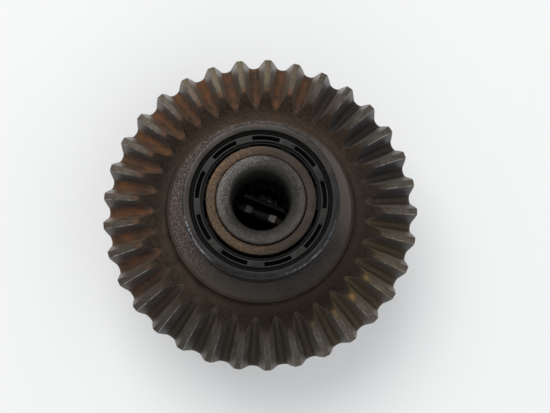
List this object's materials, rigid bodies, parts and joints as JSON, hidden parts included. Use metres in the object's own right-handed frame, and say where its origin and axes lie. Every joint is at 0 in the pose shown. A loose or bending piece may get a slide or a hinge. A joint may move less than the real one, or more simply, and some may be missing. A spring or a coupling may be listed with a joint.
{
  "type": "bevel crown wheel with differential",
  "caption": "Straight-tooth bevel crown wheel bolted to a differential case, with the differential gears inside and a ball bearing on each hub.",
  "frame": {"origin": "on the gear axis, in the plane of the rear bearing's outer face, which the part stands on", "axes": "+Z along the gear axis from the rear bearing to the front one, the side the crown wheel's teeth face; +X along the cross shaft"},
  "size_m": [0.1328, 0.1328, 0.087],
  "materials": {
    "forged_steel": "forged and machined, oily, with rust in the tooth spaces",
    "case_steel": "cast skin with turned faces, oily",
    "bolt_steel": "black oxide, worn on the corners",
    "ground_steel": "ground",
    "gear_steel": "hardened, oily",
    "washer_steel": "ground",
    "inner_ring_steel": "ground, speckled with rust",
    "outer_ring_steel": "ground, darkened by oil",
    "ball_steel": "polished",
    "cage_polymer": "moulded, stained dark by oil"
  },
  "bodies": {
    "carrier": {"crown_wheel": "forged_steel", "front_hub": "forged_steel", "rear_case": "case_steel", "rear_hub": "case_steel", "case_bolts": "bolt_steel", "cross_shaft": "ground_steel", "shaft_roll_pin": "ground_steel", "spider_washer_a": "washer_steel", "spider_washer_b": "washer_steel", "side_washer_front": "washer_steel", "side_washer_rear": "washer_steel", "front_shim": "washer_steel", "front_inner_ring": "inner_ring_steel", "rear_shim": "washer_steel", "rear_inner_ring": "inner_ring_steel"},
    "front_outer": {"front_outer_ring": "outer_ring_steel"},
    "front_rollers": {"front_cage": "cage_polymer", "front_balls": "ball_steel"},
    "rear_outer": {"rear_outer_ring": "outer_ring_steel"},
    "rear_rollers": {"rear_cage": "cage_polymer", "rear_balls": "ball_steel"},
    "front_side": {"side_gear_front": "gear_steel"},
    "rear_side": {"side_gear_rear": "gear_steel"},
    "spider_a": {"spider_gear_a": "gear_steel"},
    "spider_b": {"spider_gear_b": "gear_steel"}
  },
  "joints": [
    {"name": "front_bearing_spin", "type": "hinge", "parent": "carrier", "child": "front_outer", "pos_m": [0, 0, 0.075], "axis": [0, 0, 1], "continuous": true},
    {"name": "front_cage_spin", "type": "hinge", "parent": "carrier", "child": "front_rollers", "pos_m": [0, 0, 0.075], "axis": [0, 0, 1], "continuous": true},
    {"name": "rear_bearing_spin", "type": "hinge", "parent": "carrier", "child": "rear_outer", "pos_m": [0, 0, 0.007], "axis": [0, 0, 1], "continuous": true},
    {"name": "rear_cage_spin", "type": "hinge", "parent": "carrier", "child": "rear_rollers", "pos_m": [0, 0, 0.007], "axis": [0, 0, 1], "continuous": true},
    {"name": "front_side_spin", "type": "hinge", "parent": "carrier", "child": "front_side", "pos_m": [0, 0, 0.0406], "axis": [0, 0, 1], "continuous": true},
    {"name": "rear_side_spin", "type": "hinge", "parent": "carrier", "child": "rear_side", "pos_m": [0, 0, 0.0406], "axis": [0, 0, 1], "continuous": true},
    {"name": "spider_a_spin", "type": "hinge", "parent": "carrier", "child": "spider_a", "pos_m": [0.02, 0, 0.04061], "axis": [1, 0, 0], "continuous": true},
    {"name": "spider_b_spin", "type": "hinge", "parent": "carrier", "child": "spider_b", "pos_m": [-0.02, 0, 0.04061], "axis": [1, 0, 0], "continuous": true}
  ],
  "couplings": [
    {"joint": "front_cage_spin", "follows": "front_bearing_spin", "ratio": 0.5814},
    {"joint": "rear_cage_spin", "follows": "rear_bearing_spin", "ratio": 0.5814},
    {"joint": "rear_side_spin", "follows": "front_side_spin", "ratio": -1},
    {"joint": "spider_a_spin", "follows": "front_side_spin", "ratio": -1.4},
    {"joint": "spider_b_spin", "follows": "front_side_spin", "ratio": 1.4}
  ]
}
